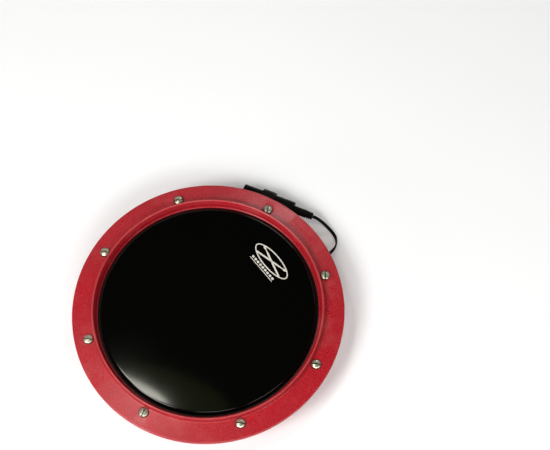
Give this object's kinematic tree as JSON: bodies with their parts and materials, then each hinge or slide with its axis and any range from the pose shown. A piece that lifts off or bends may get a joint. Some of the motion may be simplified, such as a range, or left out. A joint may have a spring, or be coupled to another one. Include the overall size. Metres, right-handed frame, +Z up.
{
  "type": "drum practice pad",
  "caption": "Round tunable drum practice pad: low-domed glossy head in a flat rim with a raised bead, slotted tension screws, and a short sensor lead to an in-line jack socket.",
  "frame": {"origin": "on the pad's own axis, at the level of the surface that it stands on", "axes": "+Z up along the pad's axis; +X along the in-line jack socket, from its mouth to its boot; the socket lies beside the base at +Y"},
  "size_m": [0.254, 0.2685, 0.0432],
  "materials": {
    "rim_plastic": "satin",
    "base_plastic": "satin",
    "head_film": "gloss",
    "hoop_metal": "satin",
    "nickel": "satin",
    "brass": "satin",
    "rubber": "matte",
    "jack_plastic": "satin",
    "cord_plastic": "satin",
    "foam": "matte",
    "board": "matte",
    "ceramic": "satin"
  },
  "bodies": {
    "base": {"base_shell": "base_plastic", "foot_ring": "rubber", "stand_bush": "brass", "threaded_insert_1": "brass", "threaded_insert_2": "brass", "threaded_insert_3": "brass", "threaded_insert_4": "brass", "threaded_insert_5": "brass", "threaded_insert_6": "brass", "threaded_insert_7": "brass", "threaded_insert_8": "brass", "backing_board": "board", "foam_disc": "foam", "drumhead": "head_film", "flesh_hoop": "hoop_metal", "sensor_pad": "foam", "piezo_plate": "brass", "piezo_ceramic": "ceramic", "sensor_lead": "cord_plastic", "lead_grommet": "rubber", "trigger_lead": "cord_plastic", "jack_bushing": "jack_plastic", "jack_housing": "jack_plastic", "jack_insulator": "board", "tip_contact": "brass", "jack_boot": "jack_plastic", "jack_clip": "jack_plastic", "clip_screw": "nickel"},
    "rim": {"rim": "rim_plastic"},
    "tension_screw_1": {"tension_screw_1": "nickel"},
    "tension_screw_2": {"tension_screw_2": "nickel"},
    "tension_screw_3": {"tension_screw_3": "nickel"},
    "tension_screw_4": {"tension_screw_4": "nickel"},
    "tension_screw_5": {"tension_screw_5": "nickel"},
    "tension_screw_6": {"tension_screw_6": "nickel"},
    "tension_screw_7": {"tension_screw_7": "nickel"},
    "tension_screw_8": {"tension_screw_8": "nickel"}
  },
  "joints": [
    {"name": "rim_lift", "type": "slide", "parent": "base", "child": "rim", "axis": [0, 0, 1], "range_m": [0, 0.00847]},
    {"name": "screw_1_turn", "type": "hinge", "parent": "rim", "child": "tension_screw_1", "pos_m": [0.08931, 0.07053, 0.0358], "axis": [0, 0, 1], "range_deg": [0, 2881]},
    {"name": "screw_2_turn", "type": "hinge", "parent": "rim", "child": "tension_screw_2", "pos_m": [0.01328, 0.11302, 0.0358], "axis": [0, 0, 1], "range_deg": [0, 2881]},
    {"name": "screw_3_turn", "type": "hinge", "parent": "rim", "child": "tension_screw_3", "pos_m": [-0.07053, 0.08931, 0.0358], "axis": [0, 0, 1], "range_deg": [0, 2881]},
    {"name": "screw_4_turn", "type": "hinge", "parent": "rim", "child": "tension_screw_4", "pos_m": [-0.11302, 0.01328, 0.0358], "axis": [0, 0, 1], "range_deg": [0, 2881]},
    {"name": "screw_5_turn", "type": "hinge", "parent": "rim", "child": "tension_screw_5", "pos_m": [-0.08931, -0.07053, 0.0358], "axis": [0, 0, 1], "range_deg": [0, 2881]},
    {"name": "screw_6_turn", "type": "hinge", "parent": "rim", "child": "tension_screw_6", "pos_m": [-0.01328, -0.11302, 0.0358], "axis": [0, 0, 1], "range_deg": [0, 2881]},
    {"name": "screw_7_turn", "type": "hinge", "parent": "rim", "child": "tension_screw_7", "pos_m": [0.07053, -0.08931, 0.0358], "axis": [0, 0, 1], "range_deg": [0, 2881]},
    {"name": "screw_8_turn", "type": "hinge", "parent": "rim", "child": "tension_screw_8", "pos_m": [0.11302, -0.01328, 0.0358], "axis": [0, 0, 1], "range_deg": [0, 2881]}
  ],
  "couplings": [
    {"joint": "screw_1_turn", "follows": "rim_lift", "rad_per_m": 5936.9},
    {"joint": "screw_2_turn", "follows": "rim_lift", "rad_per_m": 5936.9},
    {"joint": "screw_3_turn", "follows": "rim_lift", "rad_per_m": 5936.9},
    {"joint": "screw_4_turn", "follows": "rim_lift", "rad_per_m": 5936.9},
    {"joint": "screw_5_turn", "follows": "rim_lift", "rad_per_m": 5936.9},
    {"joint": "screw_6_turn", "follows": "rim_lift", "rad_per_m": 5936.9},
    {"joint": "screw_7_turn", "follows": "rim_lift", "rad_per_m": 5936.9},
    {"joint": "screw_8_turn", "follows": "rim_lift", "rad_per_m": 5936.9}
  ]
}
